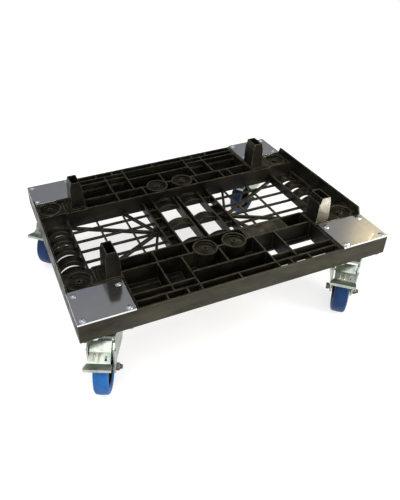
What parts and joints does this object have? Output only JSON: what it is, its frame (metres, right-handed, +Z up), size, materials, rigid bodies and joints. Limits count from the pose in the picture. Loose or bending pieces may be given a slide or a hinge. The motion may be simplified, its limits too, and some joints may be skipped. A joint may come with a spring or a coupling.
{
  "type": "furniture dolly",
  "caption": "Ribbed plastic furniture dolly with aluminium corner plates, corner stops, a recessed load well and braked blue swivel casters.",
  "frame": {"origin": "centre of the deck, level with the deck's top face and the tops of its corner boxes; middle of the corner boss hole pattern", "axes": "+X along the deck's long side, +Y along its short side towards the rear, +Z up from the deck"},
  "size_m": [0.8328, 0.6656, 0.294],
  "materials": {
    "black_plastic": "moulded, satin, scuffed",
    "hub_plastic": "moulded, satin",
    "aluminium_plate": "mill, lightly brushed",
    "zinc_steel": "zinc plated",
    "dark_steel": "oiled",
    "bearing_steel": "polished",
    "bush_steel": "turned",
    "blue_tyre": "elastic, semi-matte"
  },
  "bodies": {
    "deck": {"front_rail": "black_plastic", "rear_rail": "black_plastic", "left_end_beam": "black_plastic", "right_end_beam": "black_plastic", "centre_beam": "black_plastic", "left_grid": "black_plastic", "right_grid": "black_plastic", "plate_bolts": "zinc_steel", "plate_nuts": "zinc_steel", "corner_stop_front_left": "black_plastic", "corner_stop_front_right": "black_plastic", "corner_stop_rear_left": "black_plastic", "corner_stop_rear_right": "black_plastic", "cover_plate_front_left": "aluminium_plate", "cover_plate_front_right": "aluminium_plate", "cover_plate_rear_left": "aluminium_plate", "cover_plate_rear_right": "aluminium_plate", "caster_plate_front_left": "zinc_steel", "caster_plate_front_right": "zinc_steel", "caster_plate_rear_left": "zinc_steel", "caster_plate_rear_right": "zinc_steel", "kingpin_front_left": "dark_steel", "kingpin_front_right": "dark_steel", "kingpin_rear_left": "dark_steel", "kingpin_rear_right": "dark_steel"},
    "swivel_front_left": {"race_balls_front_left": "bearing_steel", "fork_front_left": "zinc_steel", "axle_bolt_front_left": "dark_steel", "brake_pin_front_left": "dark_steel"},
    "wheel_front_left": {"wheel_hub_front_left": "hub_plastic", "wheel_bush_front_left": "bush_steel", "tyre_front_left": "blue_tyre"},
    "brake_front_left": {"brake_pedal_front_left": "zinc_steel"},
    "swivel_front_right": {"race_balls_front_right": "bearing_steel", "fork_front_right": "zinc_steel", "axle_bolt_front_right": "dark_steel", "brake_pin_front_right": "dark_steel"},
    "wheel_front_right": {"wheel_hub_front_right": "hub_plastic", "wheel_bush_front_right": "bush_steel", "tyre_front_right": "blue_tyre"},
    "brake_front_right": {"brake_pedal_front_right": "zinc_steel"},
    "swivel_rear_left": {"race_balls_rear_left": "bearing_steel", "fork_rear_left": "zinc_steel", "axle_bolt_rear_left": "dark_steel", "brake_pin_rear_left": "dark_steel"},
    "wheel_rear_left": {"wheel_hub_rear_left": "hub_plastic", "wheel_bush_rear_left": "bush_steel", "tyre_rear_left": "blue_tyre"},
    "brake_rear_left": {"brake_pedal_rear_left": "zinc_steel"},
    "swivel_rear_right": {"race_balls_rear_right": "bearing_steel", "fork_rear_right": "zinc_steel", "axle_bolt_rear_right": "dark_steel", "brake_pin_rear_right": "dark_steel"},
    "wheel_rear_right": {"wheel_hub_rear_right": "hub_plastic", "wheel_bush_rear_right": "bush_steel", "tyre_rear_right": "blue_tyre"},
    "brake_rear_right": {"brake_pedal_rear_right": "zinc_steel"}
  },
  "joints": [
    {"name": "swivel_front_left", "type": "hinge", "parent": "deck", "child": "swivel_front_left", "pos_m": [-0.334, -0.25, -0.07], "axis": [0, 0, 1], "continuous": true},
    {"name": "wheel_front_left", "type": "hinge", "parent": "swivel_front_left", "child": "wheel_front_left", "pos_m": [-0.3523, -0.29111, -0.1535], "axis": [0.9135, -0.4067, 0], "continuous": true},
    {"name": "brake_front_left", "type": "hinge", "parent": "swivel_front_left", "child": "brake_front_left", "pos_m": [-0.35759, -0.30299, -0.0835], "axis": [0.9135, -0.4067, 0], "range_deg": [0, 8]},
    {"name": "swivel_front_right", "type": "hinge", "parent": "deck", "child": "swivel_front_right", "pos_m": [0.334, -0.25, -0.07], "axis": [0, 0, 1], "continuous": true},
    {"name": "wheel_front_right", "type": "hinge", "parent": "swivel_front_right", "child": "wheel_front_right", "pos_m": [0.30448, -0.28396, -0.1535], "axis": [0.7547, -0.6561, 0], "continuous": true},
    {"name": "brake_front_right", "type": "hinge", "parent": "swivel_front_right", "child": "brake_front_right", "pos_m": [0.29595, -0.29377, -0.0835], "axis": [0.7547, -0.6561, 0], "range_deg": [0, 8]},
    {"name": "swivel_rear_left", "type": "hinge", "parent": "deck", "child": "swivel_rear_left", "pos_m": [-0.334, 0.25, -0.07], "axis": [0, 0, 1], "continuous": true},
    {"name": "wheel_rear_left", "type": "hinge", "parent": "swivel_rear_left", "child": "wheel_rear_left", "pos_m": [-0.36411, 0.21656, -0.1535], "axis": [0.7431, -0.6691, 0], "continuous": true},
    {"name": "brake_rear_left", "type": "hinge", "parent": "swivel_rear_left", "child": "brake_rear_left", "pos_m": [-0.37281, 0.2069, -0.0835], "axis": [0.7431, -0.6691, 0], "range_deg": [0, 8]},
    {"name": "swivel_rear_right", "type": "hinge", "parent": "deck", "child": "swivel_rear_right", "pos_m": [0.334, 0.25, -0.07], "axis": [0, 0, 1], "continuous": true},
    {"name": "wheel_rear_right", "type": "hinge", "parent": "swivel_rear_right", "child": "wheel_rear_right", "pos_m": [0.29626, 0.22549, -0.1535], "axis": [0.5446, -0.8387, 0], "continuous": true},
    {"name": "brake_rear_right", "type": "hinge", "parent": "swivel_rear_right", "child": "brake_rear_right", "pos_m": [0.28536, 0.21841, -0.0835], "axis": [0.5446, -0.8387, 0], "range_deg": [0, 8]}
  ]
}
